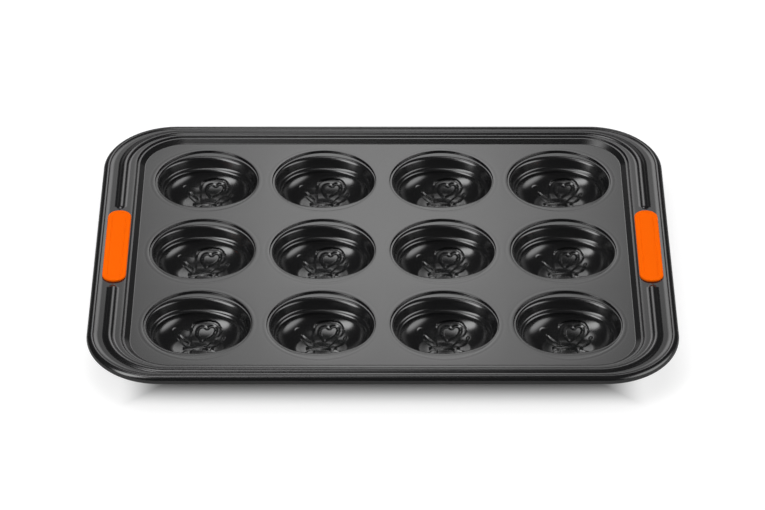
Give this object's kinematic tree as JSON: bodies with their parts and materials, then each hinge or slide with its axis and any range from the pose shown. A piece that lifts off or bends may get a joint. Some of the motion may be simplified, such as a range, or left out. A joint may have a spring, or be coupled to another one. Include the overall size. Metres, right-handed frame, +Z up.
{
  "type": "muffin pan",
  "caption": "Rectangular non-stick steel muffin pan: egg-shaped wells in round recesses, a stepped rim with a raised bead and a wired hem, and an orange soft grip at each end.",
  "frame": {"origin": "centre of the pan on the plane that the flat cup floors stand on", "axes": "+X runs along the pan's length from the left grip to the right grip, +Y from front to back, +Z up"},
  "size_m": [0.4, 0.296, 0.0274],
  "materials": {
    "nonstick_sheet": "dark grey satin non-stick coating on pressed steel sheet",
    "rim_wire_steel": "drawn steel wire",
    "grip_silicone": "orange silicone rubber with a satin surface"
  },
  "bodies": {
    "root": {"pan_body": "nonstick_sheet", "rim_wire": "rim_wire_steel", "left_grip": "grip_silicone", "right_grip": "grip_silicone"}
  },
  "joints": []
}
